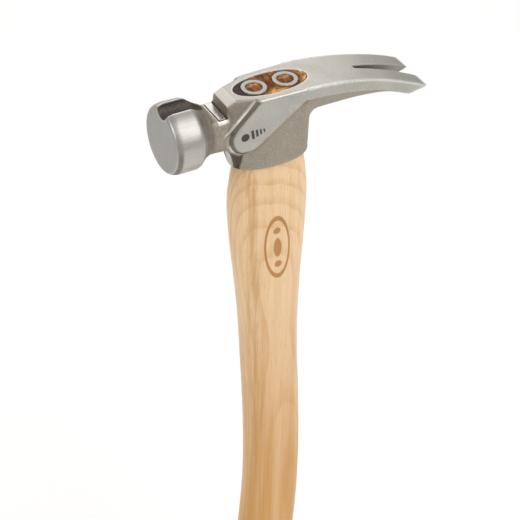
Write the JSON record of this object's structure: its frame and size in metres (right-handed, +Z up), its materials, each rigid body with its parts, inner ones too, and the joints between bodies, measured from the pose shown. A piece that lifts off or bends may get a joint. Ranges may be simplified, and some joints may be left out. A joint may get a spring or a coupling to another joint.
{
  "type": "claw hammer",
  "caption": "Framing claw hammer with a curved hickory handle, straight claws, magnetic nail starter and tubular eye wedges.",
  "frame": {"origin": "centre of the handle's flat butt end", "axes": "+Z up the handle to the head, +X from the handle towards the claws, -X towards the striking face, +Y to the left cheek seen from behind the claws; the hammer is symmetric about Y = 0"},
  "size_m": [0.1382, 0.035, 0.4331],
  "materials": {
    "forged_steel": "bead-blasted forged steel, ground bright on the poll, face, top and cheeks",
    "hickory": "smooth clear-finished hickory with open end grain in the eye",
    "wedge_steel": "plain bright steel",
    "black_resin": "matt black set resin",
    "magnet_steel": "ground and plated bar magnet"
  },
  "bodies": {
    "root": {"head": "forged_steel", "handle": "hickory", "ring_wedge_front": "wedge_steel", "ring_wedge_rear": "wedge_steel", "eye_filler": "black_resin", "nail_magnet": "magnet_steel"}
  },
  "joints": []
}
